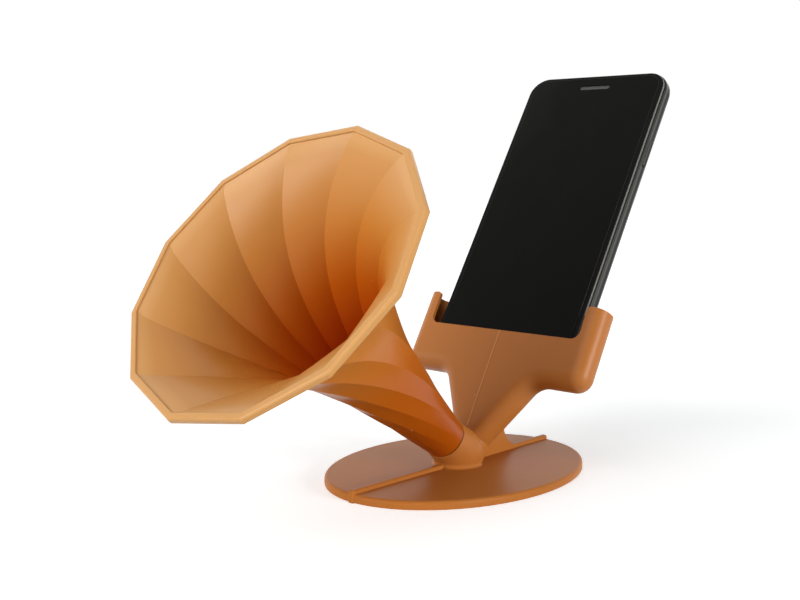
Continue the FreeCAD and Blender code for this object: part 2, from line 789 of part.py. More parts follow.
# The charging port: a thin steel sleeve with a tongue, on a seat under the plate.
port_outer = port_block(port_wall, port_sink, port_length)
tongue = box(-tongue_half_wide, tongue_half_wide, port_y - tongue_half_thick, port_y + tongue_half_thick,
             tongue_sink, port_length - port_wall)
port_seat = box(-port_seat_half, port_seat_half, plate_back, port_y - port_half_deep,
                port_seat_from, port_seat_to).cut(port_outer)
save_phone_piece(port_outer.cut(port_hole).fuse(tongue).fuse(port_seat), "phone_charge_port")

# Back cover with the camera window, then the camera and the flash.
cover = slab(phone_half_width - glass_inset, glass_inset, phone_length - glass_inset,
             cover_front, phone_depth, phone_corner_r - glass_inset)
cover = cover.makeFillet(glass_edge_r, outline_edges(cover, phone_depth))
camera_back = plate_back + camera_thick
ring_back = phone_depth + camera_proud
cover = cover.cut(through_depth(camera_x, camera_z, camera_ring_r + slot_clearance, camera_back, ring_back))
cover = cover.cut(through_depth(flash_x, camera_z, flash_r + slot_clearance, camera_back, ring_back))
save_phone_piece(cover, "phone_back_cover")
camera = box(camera_x - camera_half, camera_x + camera_half, plate_back, camera_back,
             camera_z - camera_half, camera_z + camera_half)
camera = camera.fuse(through_depth(camera_x, camera_z, camera_barrel_r, camera_back - camera_barrel_sink,
                                   phone_depth))
camera = camera.cut(through_depth(camera_x, camera_z, camera_well_r,
                                  phone_depth - camera_well_deep, ring_back))
save_phone_piece(camera, "phone_rear_camera")
glass_back = ring_back - camera_glass_below
glass_seat = glass_back - camera_glass_thick
ring = through_depth(camera_x, camera_z, camera_ring_r, camera_back, ring_back)
ring = ring.makeFillet(camera_ring_edge_r, outline_edges(ring, ring_back))
ring = ring.cut(through_depth(camera_x, camera_z, camera_barrel_r + camera_ring_bore_gap, 0, ring_back))
lens_seat_r = camera_glass_r + slot_clearance
ring = ring.cut(through_depth(camera_x, camera_z, lens_seat_r, glass_seat, ring_back + past))
save_phone_piece(ring, "phone_camera_ring")
lens = through_depth(camera_x, camera_z, camera_glass_r, glass_seat, glass_back)
save_phone_piece(lens, "phone_camera_glass")
flash = through_depth(flash_x, camera_z, flash_r, camera_back, phone_depth)
flash = flash.fuse(box(flash_x - flash_half, flash_x + flash_half, plate_back, camera_back + flash_sink,
                       camera_z - flash_half, camera_z + flash_half))
save_phone_piece(flash, "phone_flash")


def side_button(side, z, name):
    """The cap stands proud of the band; its flange behind the wall keeps it in."""
    face = side * (phone_half_width + button_proud)
    stop = side * (wall_inside - flange_gap)
    cap = key_through_side(face, stop, z, button_y, button_half_deep)
    crown = [e for e in cap.Edges
             if abs(e.BoundBox.XMin - face) < same and abs(e.BoundBox.XMax - face) < same]
    cap = cap.makeFillet(button_crown_r, crown)
    flange = key_through_side(stop, stop - side * flange_thick, grown(z, flange_over), button_y,
                              button_half_deep)
    save_phone_piece(cap.fuse(flange), name)


side_button(1, power_z, "phone_power_button")
side_button(-1, volume_up_z, "phone_volume_up")
side_button(-1, volume_down_z, "phone_volume_down")

# The silent switch slides towards the back of the phone.
mute_stop = flange_gap - wall_inside
mute = box(-phone_half_width - mute_proud, mute_stop, mute_y - mute_half_deep, mute_y + mute_half_deep,
           mute_z[0], mute_z[1])
mute = mute.fuse(box(mute_stop, mute_stop + flange_thick, mute_y - mute_half_deep,
                     mute_y + mute_half_deep + mute_flange_back,
                     mute_z[0] - flange_over, mute_z[1] + flange_over))
save_phone_piece(mute, "phone_mute_switch")

# The card tray pulls straight out of the side, card and all.
tray = box(-phone_half_width, tray_reach - phone_half_width, tray_front, tray_back,
           tray_foot, tray_foot + tray_width)
card_x = card_from_face - phone_half_width
card_z = tray_foot + card_from_edge
card_front = tray_back - card_thick
tray = tray.cut(box(card_x, card_x + card_length + 2 * card_clearance, card_front, tray_back + past,
                    card_z, card_z + card_width + 2 * card_clearance))
eject_place = V(-outside, (tray_front + tray_back) / 2, tray_foot + eject_from_edge)
tray = tray.cut(rod(eject_hole_r, eject_place, eject_place + X_AXIS * (past + eject_hole_deep))).common(band)
save_phone_piece(tray, "phone_sim_tray")
card = box(card_x + card_clearance, card_x + card_clearance + card_length, card_front,
           tray_back - card_below_tray, card_z + card_clearance, card_z + card_clearance + card_width)
save_phone_piece(card, "phone_sim_card")

for side, name in ((-1, "phone_screw_left"), (1, "phone_screw_right")):
    x = side * screw_x
    head = up_phone(x, port_y, screw_head_r, screw_head_sink, screw_head_to)
    head = head.fuse(up_phone(x, port_y, screw_shank_r, screw_head_sink, band_wall + screw_past_wall))
    head = head.cut(up_phone(x, port_y, screw_recess_r, 0, screw_recess_to))
    save_phone_piece(head, name)
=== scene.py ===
import math

import bpy
from mathutils import Matrix, Vector


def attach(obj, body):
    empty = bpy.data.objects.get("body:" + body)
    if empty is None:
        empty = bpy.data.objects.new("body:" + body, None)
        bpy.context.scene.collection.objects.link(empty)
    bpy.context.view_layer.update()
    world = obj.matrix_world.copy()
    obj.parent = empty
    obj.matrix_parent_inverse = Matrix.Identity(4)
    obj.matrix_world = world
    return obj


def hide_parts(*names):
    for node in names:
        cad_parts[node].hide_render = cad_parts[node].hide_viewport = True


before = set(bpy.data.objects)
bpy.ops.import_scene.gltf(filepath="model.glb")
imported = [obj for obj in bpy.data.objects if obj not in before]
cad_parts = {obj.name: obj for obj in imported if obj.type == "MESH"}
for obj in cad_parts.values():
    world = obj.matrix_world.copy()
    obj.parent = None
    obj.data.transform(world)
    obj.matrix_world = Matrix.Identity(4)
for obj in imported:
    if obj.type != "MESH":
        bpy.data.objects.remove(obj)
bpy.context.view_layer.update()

# Camera. It stands in front and to the right of the horn's mouth, a little above
# the bell's middle, looks slightly down and leans a degree to one side.
camera_spot = (0.25436, -0.33466, 0.11169)
camera_yaw = math.radians(40.67)
camera_tip = math.radians(90 - 5.80)
camera_roll = math.radians(1.25)
camera_turn = Matrix.Rotation(camera_yaw, 3, "Z") @ Matrix.Rotation(camera_tip, 3, "X")
camera_turn = camera_turn @ Matrix.Rotation(camera_roll, 3, "Z")
bpy.ops.object.camera_add(location=camera_spot, rotation=camera_turn.to_euler())
camera = bpy.context.object
camera.data.lens = 47.5
camera.data.sensor_width = 36
camera.data.clip_start = 0.01
bpy.context.scene.camera = camera
bpy.context.scene.view_settings.view_transform = "Standard"


# Studio. A white table in a white room: both look white to the lens, straight on
# or mirrored, and the table keeps the soft shadow of what stands on it.
def new_nodes(owner):
    owner.use_nodes = True
    owner.node_tree.nodes.clear()
    return owner.node_tree


def feed(socket, value):
    """A socket takes a link from another node's socket, or a plain amount or colour."""
    if isinstance(value, bpy.types.NodeSocket):
        socket.id_data.links.new(value, socket)
    else:
        socket.default_value = (*value, 1) if socket.type == "RGBA" else value


def add_node(tree, kind, inputs=(), **settings):
    """A node with its settings, and then its inputs, given by name or by number."""
    node = tree.nodes.new(kind)
    for name, value in settings.items():
        setattr(node, name, value)
    for label, value in dict(inputs).items():
        feed(node.inputs[label], value)
    return node


def calculate(tree, operation, *values, **settings):
    """A number made of one to three numbers."""
    inputs = dict(enumerate(values))
    return add_node(tree, "ShaderNodeMath", inputs, operation=operation, **settings).outputs[0]


def white_to_lens(tree):
    """1 for what the lens sees straight, mirrored or through glass, else 0."""
    path = add_node(tree, "ShaderNodeLightPath").outputs
    seen = calculate(tree, "MAXIMUM", path["Is Camera Ray"], path["Is Glossy Ray"])
    return calculate(tree, "MAXIMUM", seen, path["Is Transmission Ray"])


table_colour = (0.79, 0.80, 0.805)
table_lift = 0.52
bpy.ops.mesh.primitive_plane_add(size=40)
table_top = bpy.context.object
table_top.name = "table_top"
table_paint = bpy.data.materials.new("table_paint")
tree = new_nodes(table_paint)
paint = add_node(tree, "ShaderNodeBsdfDiffuse", {"Color": table_colour})
lift_amount = calculate(tree, "MULTIPLY", white_to_lens(tree), table_lift)
lift = add_node(tree, "ShaderNodeEmission", {"Strength": lift_amount})
both = add_node(tree, "ShaderNodeAddShader", {0: paint.outputs[0], 1: lift.outputs[0]})
add_node(tree, "ShaderNodeOutputMaterial", {"Surface": both.outputs[0]})
table_top.data.materials.append(table_paint)

white = (1, 1, 1)
room = bpy.data.worlds.new("white_room")
bpy.context.scene.world = room
tree = new_nodes(room)
soft_light = add_node(tree, "ShaderNodeBackground", {"Color": white, "Strength": 0.10})
white_wall = add_node(tree, "ShaderNodeBackground", {"Color": white, "Strength": 1.0})
pick = add_node(tree, "ShaderNodeMixShader", {0: white_to_lens(tree), 1: soft_light.outputs[0],
                                              2: white_wall.outputs[0]})
add_node(tree, "ShaderNodeOutputWorld", {"Surface": pick.outputs[0]})


def add_lamp(name, bearing, height, spread, strength):
    """A far soft lamp: bearing in degrees from the right hand side, height above the table."""
    bearing, height = math.radians(bearing), math.radians(height)
    comes_from = Vector((math.cos(bearing), math.sin(bearing), math.tan(height)))
    turn = comes_from.to_track_quat("Z", "Y").to_euler()
    bpy.ops.object.light_add(type="SUN", location=comes_from, rotation=turn)
    lamp = bpy.context.object
    lamp.name = name
    lamp.data.angle = math.radians(spread)
    lamp.data.energy = strength


add_lamp("front_lamp", bearing=-104, height=6, spread=44, strength=3.0)
add_lamp("right_lamp", bearing=7, height=9, spread=22, strength=2.7)
add_lamp("high_lamp", bearing=-92, height=42, spread=50, strength=1.2)
add_lamp("back_lamp", bearing=150, height=14, spread=120, strength=1.0)


# Plastic. Horn and stand are moulded in one satin plastic: its colour drifts a
# little over the surface, it has a fine grain and a few pale specks of dust.
def make_group(name, colours, amounts):
    """A surface effect, read at a place, that gives a colour, a roughness and a normal."""
    group = bpy.data.node_groups.new(name, "ShaderNodeTree")
    sockets = [("Place", "INPUT", "Vector")]
    sockets += [(label, "INPUT", "Color") for label in colours]
    sockets += [(label, "INPUT", "Float") for label in amounts]
    sockets += [("Colour", "OUTPUT", "Color"), ("Roughness", "OUTPUT", "Float"),
                ("Normal", "OUTPUT", "Vector")]
    for label, way, kind in sockets:
        group.interface.new_socket(name=label, in_out=way, socket_type="NodeSocket" + kind)
    came = add_node(group, "NodeGroupInput").outputs
    goes = add_node(group, "NodeGroupOutput").inputs
    return group, came, goes


def noise(tree, place, scale, detail=2, distortion=0):
    """A cloudy pattern; scale is about how many clouds go to a metre."""
    inputs = {"Vector": place, "Scale": scale, "Detail": detail, "Distortion": distortion}
    return add_node(tree, "ShaderNodeTexNoise", inputs).outputs["Fac"]


def mix_colours(tree, share, under, over, blend="MIX"):
    """The colour under where the share is 0, and the one over where it is 1."""
    inputs = {0: share, 6: under, 7: over}
    mix = add_node(tree, "ShaderNodeMix", inputs, data_type="RGBA", blend_type=blend)
    return mix.outputs[2]


def bumped(tree, height, strength, distance):
    inputs = {"Height": height, "Strength": strength, "Distance": distance}
    return add_node(tree, "ShaderNodeBump", inputs).outputs[0]


moulded, came, goes = make_group("moulded_surface", ("Colour", "Deep colour", "Dust colour"),
                                 ("Drift", "Dust", "Roughness", "Grain"))
clouds = noise(moulded, came["Place"], scale=38, detail=3)
drift = calculate(moulded, "MULTIPLY", clouds, came["Drift"])
body_colour = mix_colours(moulded, drift, came["Colour"], came["Deep colour"])

speck_size = 0.045
specks_left_out = 0.8
specks = add_node(moulded, "ShaderNodeTexVoronoi", {"Vector": came["Place"], "Scale": 130}).outputs
near_speck = calculate(moulded, "LESS_THAN", specks["Distance"], speck_size)
speck_draw = add_node(moulded, "ShaderNodeSeparateColor", {0: specks["Color"]}).outputs[0]
is_speck = calculate(moulded, "GREATER_THAN", speck_draw, specks_left_out)
speck_mask = calculate(moulded, "MULTIPLY", near_speck, is_speck)
dust_amount = calculate(moulded, "MULTIPLY", speck_mask, came["Dust"])
feed(goes["Colour"], mix_colours(moulded, dust_amount, body_colour, came["Dust colour"]))

dulled_by_hands = 0.05
grain_depth = 0.00003
handled = noise(moulded, came["Place"], scale=90, detail=4)
feed(goes["Roughness"], calculate(moulded, "MULTIPLY_ADD", handled, dulled_by_hands, came["Roughness"]))
grain = noise(moulded, came["Place"], scale=2600)
feed(goes["Normal"], bumped(moulded, grain, came["Grain"], grain_depth))


def new_finish(name):
    """A new material with its one shader."""
    finish = bpy.data.materials.new(name)
    tree = new_nodes(finish)
    surface = add_node(tree, "ShaderNodeBsdfPrincipled")
    add_node(tree, "ShaderNodeOutputMaterial", {"Surface": surface.outputs[0]})
    return finish


def surface_of(finish):
    return finish.node_tree.nodes["Principled BSDF"].inputs


def cover(finish, effect, values):
    """Puts a surface effect over a finish, with the values it takes."""
    skin = add_node(finish.node_tree, "ShaderNodeGroup", values, node_tree=effect, name="skin")
    for label, socket in (("Colour", "Base Color"), ("Roughness", "Roughness"), ("Normal", "Normal")):
        feed(surface_of(finish)[socket], skin.outputs[label])


dust_colour = (0.86, 0.72, 0.58)


def moulded_plastic(name, drift, dust, roughness, grain, sheen):
    finish = new_finish(name)
    place = add_node(finish.node_tree, "ShaderNodeTexCoord").outputs["Object"]
    cover(finish, moulded, {"Place": place, "Dust colour": dust_colour, "Drift": drift, "Dust": dust,
                            "Roughness": roughness, "Grain": grain})
    feed(surface_of(finish)["Specular IOR Level"], sheen)
    return finish


def dress(node, finish):
    """A CAD node keeps its shape and gets a better finish."""
    mesh_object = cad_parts[node]
    for finish_slot in mesh_object.material_slots:
        finish_slot.material = finish
    if not mesh_object.material_slots:
        mesh_object.data.materials.append(finish)


# Horn. One moulding: a twelve sided bell whose sides swirl down to a round neck,
# with a rounded band round the mouth. Both skins are drawn out ring by ring from
# the band, and meet at the end of the spigot that plugs into the elbow.
horn_sides = 12
side_cuts = 5
ring_step = 0.002
horn_rise = math.radians(37.4)
first_corner = math.radians(84.7)
degrees_per_metre = 1050.0
horn_wall = 0.0018
taper_start = 0.0192
flare = 0.037
flare_length = 0.0242
taper = 0.1054
soften = 0.12

rim_centre = Vector((0, -0.10480, 0.08790))
rim_radius = 0.0590
rim_inside = 0.0562
rim_slack = 0.0001
rim_lip = 0.0008
lip_arc = 0.0004
lip_reach = 0.01
edge_arc = 0.0011
band_back = 0.0026

bore_radius = 0.0058
collar_radius = 0.0087
collar_start = 0.1175
seam = 0.1200
spigot_radius = 0.00715
groove_radius = 0.0066
spigot_end = 0.1272


def bell_radius(deep):
    return taper_start + flare * math.exp(-deep / flare_length) - taper * deep


def bell_outside(deep):
    slope = flare / flare_length * math.exp(-deep / flare_length) + taper
    return bell_radius(deep) + horn_wall * math.sqrt(1 + slope * slope)


def swirl_at(deep, radius):
    """How far a ring is turned: the band round the mouth isn't, the bell is."""
    return 0 if radius > rim_inside - rim_slack else degrees_per_metre * deep


half_side = math.sin(math.pi / horn_sides)
to_side = math.cos(math.pi / horn_sides)
steps_per_side = side_cuts + 1
mean_of_ring = 0
for step in range(steps_per_side):
    along = half_side * (2 * step / steps_per_side - 1)
    mean_of_ring += math.hypot(to_side, along) / steps_per_side


def draw_out(profile):
    """Extrudes the selected ring along (depth, corner radius, how round) places."""
    deep, radius = profile[0][0], profile[0][1]
    for next_deep, next_radius, round_off in profile[1:]:
        bpy.ops.mesh.extrude_edges_move(TRANSFORM_OT_translate={"value": (0, 0, deep - next_deep)})
        scale = next_radius / radius
        middle = (0, 0, -next_deep)
        bpy.ops.transform.resize(value=(scale, scale, 1), center_override=middle)
        turn = math.radians(swirl_at(deep, radius) - swirl_at(next_deep, next_radius))
        bpy.ops.transform.rotate(value=turn, orient_axis="Z", center_override=middle)
        if round_off:
            bpy.ops.transform.tosphere(value=round_off, center_override=middle)
        deep, radius = next_deep, next_radius
        if round_off == 1:
            radius = next_radius * mean_of_ring


def rounding(deep, radius, arc, end, count):
    """Places on a rounded edge, from its crest to the angle end, given the arc's centre."""
    places = []
    for n in range(count + 1):
        a = math.radians(end * n / count)
        places.append((deep - arc * math.cos(a), radius + arc * math.sin(a), 0))
    return places


def bell_rings(first, last, shape, round_from):
    """Rings down the bell; past round_from its corners soften towards the round neck."""
    rings = []
    for n in range(first, int(last / ring_step) + 1):
        deep = n * ring_step
        rings.append((deep, shape(deep), soften if deep > round_from else 0))
    return rings


def bell_inside(deep):
    """Behind the lip the inside comes in a little, and this dies away down the bell."""
    return bell_radius(deep - rim_lip * math.exp((rim_lip - deep) / lip_reach))


bpy.ops.object.select_all(action="DESELECT")
rim_middle = (rim_radius + rim_inside) / 2
bpy.ops.mesh.primitive_circle_add(vertices=horn_sides, radius=rim_middle)
horn_bell = bpy.context.object
horn_bell.name = "horn_bell"
bpy.ops.object.mode_set(mode="EDIT")
bpy.ops.mesh.select_all(action="SELECT")
bpy.ops.transform.rotate(value=math.pi / 2 - first_corner, orient_axis="Z", center_override=(0, 0, 0))
bpy.ops.mesh.subdivide(number_cuts=side_cuts)
bpy.ops.object.mode_set(mode="OBJECT")
start_ring = [v.index for v in horn_bell.data.vertices]

inside = [(0, rim_middle, 0)] + rounding(lip_arc, rim_inside + lip_arc, lip_arc, end=-90, count=3)
inside.append((rim_lip, rim_inside, 0))
inside += bell_rings(1, 0.116, bell_inside, round_from=0.098)
inside += [(0.1165, bore_radius / mean_of_ring, 1), (0.1167, bore_radius, 0),
           (spigot_end, bore_radius, 0)]

outside = [(0, rim_middle, 0)] + rounding(edge_arc, rim_radius - edge_arc, edge_arc, end=90, count=6)
outside += [(0.0023, rim_radius, 0), (band_back, rim_radius - 0.0003, 0),
            (band_back, bell_outside(band_back), 0)]
outside += bell_rings(2, 0.114, bell_outside, round_from=0.088)
collar_corner = collar_radius / mean_of_ring
outside += [(0.1155, collar_corner * 1.02, 0.4), (collar_start, collar_corner, 1)]

for profile in (inside, outside):
    bpy.ops.object.mode_set(mode="EDIT")
    bpy.ops.mesh.select_all(action="DESELECT")
    bpy.ops.object.mode_set(mode="OBJECT")
    for v in horn_bell.data.vertices:
        v.select = v.index in start_ring
    bpy.ops.object.mode_set(mode="EDIT")
    draw_out(profile)
    bpy.ops.object.mode_set(mode="OBJECT")
bpy.ops.object.mode_set(mode="EDIT")
collar = [(collar_start, collar_radius, 0), (0.1194, collar_radius, 0), (0.1198, 0.00858, 0),
          (seam, 0.0082, 0), (seam, spigot_radius, 0)]
groove = [(0.1230, spigot_radius, 0), (0.1230, groove_radius, 0), (0.1244, groove_radius, 0),
          (0.1244, spigot_radius, 0)]
spigot_tip = [(0.1267, spigot_radius, 0), (spigot_end, 0.00665, 0)]
draw_out(collar + groove + spigot_tip)
bpy.ops.mesh.select_all(action="DESELECT")
bpy.ops.mesh.select_mode(type="EDGE")
bpy.ops.mesh.select_non_manifold()
bpy.ops.mesh.bridge_edge_loops()
bpy.ops.mesh.select_all(action="SELECT")
bpy.ops.mesh.remove_doubles(threshold=0.000001)
bpy.ops.mesh.normals_make_consistent(inside=False)
bpy.ops.object.mode_set(mode="OBJECT")
horn_bell.rotation_euler = (math.pi / 2 - horn_rise, 0, 0)
horn_bell.location = rim_centre
bpy.ops.object.transform_apply(location=True, rotation=True, scale=True)
bpy.ops.object.shade_smooth_by_angle(angle=math.radians(9))


def measure(tree, operation, first, second):
    """A number made of two vectors: how far one goes along the other, or their distance."""
    inputs = {0: first, 1: second}
    return add_node(tree, "ShaderNodeVectorMath", inputs, operation=operation).outputs["Value"]


def rescale(tree, value, start, end, low=0, high=1, **settings):
    """Carries the run from start to end over to the run from low to high."""
    inputs = {"Value": value, "From Min": start, "From Max": end, "To Min": low, "To Max": high}
    return add_node(tree, "ShaderNodeMapRange", inputs, **settings).outputs[0]


def colours_along(tree, share, stops):
    """Colours along a run from 0 to 1, given as (share of the run, colour)."""
    ramp = add_node(tree, "ShaderNodeValToRGB", {"Fac": share})
    marks = ramp.color_ramp.elements
    for at, colour in stops[1:-1]:
        marks.new(at)
    for mark, (at, colour) in zip(marks, stops):
        mark.position = at
        mark.color = (*colour, 1)
    return ramp.outputs["Color"]


# The bell is painted paler at its mouth and darker and redder towards the throat, and redder inside than
# outside, which is told by where the surface faces: inside, to the axis. Part of this is the plastic's
# own tone and part is painted light: painted light at the pale mouth, painted shade and bounced red
# light down the throat.
horn_plastic = moulded_plastic("horn_plastic", drift=0.12, dust=0.8, roughness=0.28, grain=0.12,
                               sheen=0.22)
tree = horn_plastic.node_tree
here = add_node(tree, "ShaderNodeTexCoord").outputs
ahead = (0, -math.cos(horn_rise), math.sin(horn_rise))
from_mouth = add_node(tree, "ShaderNodeVectorMath", {0: here["Object"], 1: rim_centre},
                      operation="SUBTRACT").outputs[0]
along_axis = measure(tree, "DOT_PRODUCT", from_mouth, ahead)
on_axis = add_node(tree, "ShaderNodeVectorMath", operation="SCALE")
feed(on_axis.inputs[0], ahead)
feed(on_axis.inputs["Scale"], along_axis)
from_axis = add_node(tree, "ShaderNodeVectorMath", {0: from_mouth, 1: on_axis.outputs[0]},
                     operation="SUBTRACT").outputs[0]
outward = measure(tree, "DOT_PRODUCT", from_axis, here["Normal"])
is_outside = calculate(tree, "GREATER_THAN", outward, 0)

throat_depth = 0.105
depth_share = rescale(tree, along_axis, start=0, end=-throat_depth)
mouth_colour = (0.57, 0.290, 0.096)
near_mouth = (0.53, 0.245, 0.066)
# Partly painted light: pale at the mouth, painted shade deepening to red down the throat.
inside_tone_and_shade = colours_along(tree, depth_share, (
    (0.015, mouth_colour), (0.035, near_mouth), (0.18, (0.50, 0.184, 0.027)),
    (0.38, (0.475, 0.102, 0.0045)), (0.65, (0.44, 0.038, 0.001)), (1.0, (0.41, 0.018, 0.0004))))
outside_tone_and_shade = colours_along(tree, depth_share, (
    (0.015, mouth_colour), (0.035, near_mouth), (0.35, (0.49, 0.160, 0.022)),
    (0.65, (0.42, 0.098, 0.005)), (1.0, (0.37, 0.072, 0.002))))
bell_tone_and_shade = mix_colours(tree, is_outside, inside_tone_and_shade, outside_tone_and_shade)

# The end of the neck, in the joint with the elbow, is painted darker: painted shade in the seam.
joint_start = 0.1192
joint_shade = (0.34, 0.26, 0.22)
deepened_by = (0.90, 0.82, 0.75)
in_joint = calculate(tree, "LESS_THAN", along_axis, -joint_start)
with_joint_shade = mix_colours(tree, in_joint, bell_tone_and_shade, joint_shade, blend="MULTIPLY")
skin = tree.nodes["skin"].inputs
feed(skin["Colour"], with_joint_shade)
feed(skin["Deep colour"], mix_colours(tree, 1, with_joint_shade, deepened_by, blend="MULTIPLY"))
horn_bell.data.materials.append(horn_plastic)
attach(horn_bell, "horn")
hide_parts("horn")

# Seal ring. A thin black rubber ring in the spigot's groove, with a faint bloom.
rubber = new_finish("seal_rubber")
tree = rubber.node_tree
bloom = noise(tree, add_node(tree, "ShaderNodeTexCoord").outputs["Object"], scale=900)
rubber_tone = mix_colours(tree, bloom, (0.012, 0.012, 0.013), (0.035, 0.034, 0.033))
feed(surface_of(rubber)["Base Color"], rubber_tone)
feed(surface_of(rubber)["Roughness"], 0.75)
dress("seal_ring", rubber)

# Stand. Two halves glued along the middle, of the same plastic in a browner tone.
# The fine raised line up the funnel's front is painted paler than what is round it, where it faces the
# front: a painted highlight along the line.
stand_plastic = moulded_plastic("stand_plastic", drift=0.6, dust=0.6, roughness=0.36, grain=0.30,
                                sheen=0.06)
stand_colour = (0.445, 0.156, 0.031)
stand_deep = (0.388, 0.129, 0.023)
line_highlight_colour = (0.56, 0.25, 0.080)
line_half_width = 0.0003
line_middle = 0.037
line_half_height = 0.019
funnel_front = (0, -0.87, 0.49)
tree = stand_plastic.node_tree
here = add_node(tree, "ShaderNodeTexCoord").outputs
parts = add_node(tree, "ShaderNodeSeparateXYZ", {0: here["Object"]}).outputs
on_middle = calculate(tree, "COMPARE", parts["X"], 0, line_half_width)
on_funnel = calculate(tree, "COMPARE", parts["Z"], line_middle, line_half_height)
faces_front = measure(tree, "DOT_PRODUCT", here["Normal"], funnel_front)
on_line = calculate(tree, "MULTIPLY", on_middle, on_funnel, use_clamp=True)
# The raised line's painted highlight, where its surface faces the front.
painted_line_highlight = calculate(tree, "MULTIPLY", on_line, faces_front, use_clamp=True)
skin = tree.nodes["skin"].inputs
for label, colour in (("Colour", stand_colour), ("Deep colour", stand_deep)):
    feed(skin[label], mix_colours(tree, painted_line_highlight, colour, line_highlight_colour))

# Hands and sleeves have polished it, from just above the base plate up.
polish_start = 0.004
polish_full = 0.014
polish_amount = 0.36
polish = rescale(tree, parts["Z"], start=polish_start, end=polish_full, high=polish_amount)
feed(surface_of(stand_plastic)["Coat Weight"], polish)
feed(surface_of(stand_plastic)["Coat Roughness"], 0.42)
dress("stand_left_half", stand_plastic)
dress("stand_right_half", stand_plastic)

# Small parts. Every metal, plastic and board inside and on the phone has its own
# colour and grain; this one effect gives them their drift, grain and dulled spots.
fine_skin, came, goes = make_group("fine_surface", ("Colour", "Deep colour"),
                                   ("Drift", "Size", "Roughness", "Dulled", "Grain"))
fine_depth = 0.00004
fine_grain = noise(fine_skin, came["Place"], scale=came["Size"], detail=3)
tone = calculate(fine_skin, "MULTIPLY", fine_grain, came["Drift"])
feed(goes["Colour"], mix_colours(fine_skin, tone, came["Colour"], came["Deep colour"]))
touched = noise(fine_skin, came["Place"], scale=140, detail=4)
feed(goes["Roughness"], calculate(fine_skin, "MULTIPLY_ADD", touched, came["Dulled"], came["Roughness"]))
feed(goes["Normal"], bumped(fine_skin, fine_grain, came["Grain"], fine_depth))

phone_foot = Vector((0, 0.019966, 0.038891))
phone_lean = math.radians(31.45)
phone_length = 0.151


def on_phone(tree, name, stretch=(1, 1, 1)):
    """The phone's own place: X across it, Y into its depth, Z up it from its foot."""
    place = add_node(tree, "ShaderNodeTexCoord").outputs["Object"]
    inputs = {"Vector": place, "Location": phone_foot, "Rotation": (-phone_lean, 0, 0), "Scale": stretch}
    return add_node(tree, "ShaderNodeMapping", inputs, vector_type="TEXTURE", name=name).outputs[0]


def place_of(finish):
    return finish.node_tree.nodes["place"].outputs[0]


def fine_finish(name, colour, deep, size=2500, roughness=0.4, dulled_by=0.1, grain=0.2,
                stretch=(1, 1, 1), metal=0.0):
    """A fine surface; stretch draws its grain out along an axis of the phone."""
    finish = new_finish(name)
    grain_place = on_phone(finish.node_tree, "grain_place", stretch)
    on_phone(finish.node_tree, "place")
    cover(finish, fine_skin, {"Place": grain_place, "Colour": colour, "Deep colour": deep, "Size": size,
                              "Roughness": roughness, "Dulled": dulled_by, "Grain": grain, "Drift": 1})
    feed(surface_of(finish)["Metallic"], metal)
    return finish


def where(finish, axis, middle, half):
    """1 where the place lies within half of middle along one axis, else 0."""
    parts = add_node(finish.node_tree, "ShaderNodeSeparateXYZ", {0: place_of(finish)}).outputs
    return calculate(finish.node_tree, "COMPARE", parts[axis], middle, half)


def both_of(first, second, how="MULTIPLY"):
    return calculate(first.id_data, how, first, second)


def round_spot(finish, across, up, radius):
    """1 inside a circle on the phone's front or back, else 0."""
    tree = finish.node_tree
    flat = add_node(tree, "ShaderNodeVectorMath", {0: place_of(finish), 1: (1, 0, 1)},
                    operation="MULTIPLY")
    away = measure(tree, "DISTANCE", flat.outputs[0], (across, 0, up))
    return calculate(tree, "LESS_THAN", away, radius)


def stripes(finish, axis, pitch, share):
    """1 on the dark part of a run of stripes, which is a share of their pitch, else 0."""
    inputs = {"Vector": place_of(finish), "Scale": math.pi / 10 / pitch}
    waves = add_node(finish.node_tree, "ShaderNodeTexWave", inputs, bands_direction=axis)
    return calculate(finish.node_tree, "LESS_THAN", waves.outputs["Fac"], share)


def paint_over(finish, mask, **coats):
    """Puts a colour or an amount over what the surface has, where the mask is 1."""
    tree = finish.node_tree
    for label, value in coats.items():
        socket = surface_of(finish)[label.replace("_", " ")]
        under = socket.links[0].from_socket if socket.is_linked else socket.default_value
        if isinstance(value, tuple):
            feed(socket, mix_colours(tree, mask, under, value))
        else:
            feed(socket, add_node(tree, "ShaderNodeMix", {0: mask, 2: under, 3: value}).outputs[0])


# Phone glass. Black sheet glass in front and behind, with the faint smears of fingers. The rounded edges
# carry a painted highlight: bright on the front glass, faint on the laid on guard and the back.
least_smeared, most_smeared = 0.35, 0.8
clean_glass, smeared_glass = 0.03, 0.16


def sheet_glass(name, colour, specular):
    finish = new_finish(name)
    tree = finish.node_tree
    on_phone(tree, "place")
    smear_place = on_phone(tree, "smear_place", stretch=(1, 1, 2.2))
    smears = noise(tree, smear_place, scale=34, detail=5, distortion=1.5)
    feed(surface_of(finish)["Roughness"], rescale(tree, smears, least_smeared, most_smeared,
                                                  clean_glass, smeared_glass))
    filmed = tuple(c * 1.5 + 0.0012 for c in colour)
    feed(surface_of(finish)["Base Color"], mix_colours(tree, smears, colour, filmed))
    feed(surface_of(finish)["Specular IOR Level"], specular)
    return finish


def painted_edge_highlight(finish, colour):
    """Paints a highlight on the rounded edge: where the surface turns away from front and back."""
    tree = finish.node_tree
    normal = add_node(tree, "ShaderNodeTexCoord").outputs["Normal"]
    phone_front = (0, -math.cos(phone_lean), math.sin(phone_lean))
    flatness = calculate(tree, "ABSOLUTE", measure(tree, "DOT_PRODUCT", normal, phone_front))
    edge = rescale(tree, flatness, start=0.97, end=0.60, interpolation_type="SMOOTHSTEP")
    paint_over(finish, edge, Base_Color=colour)


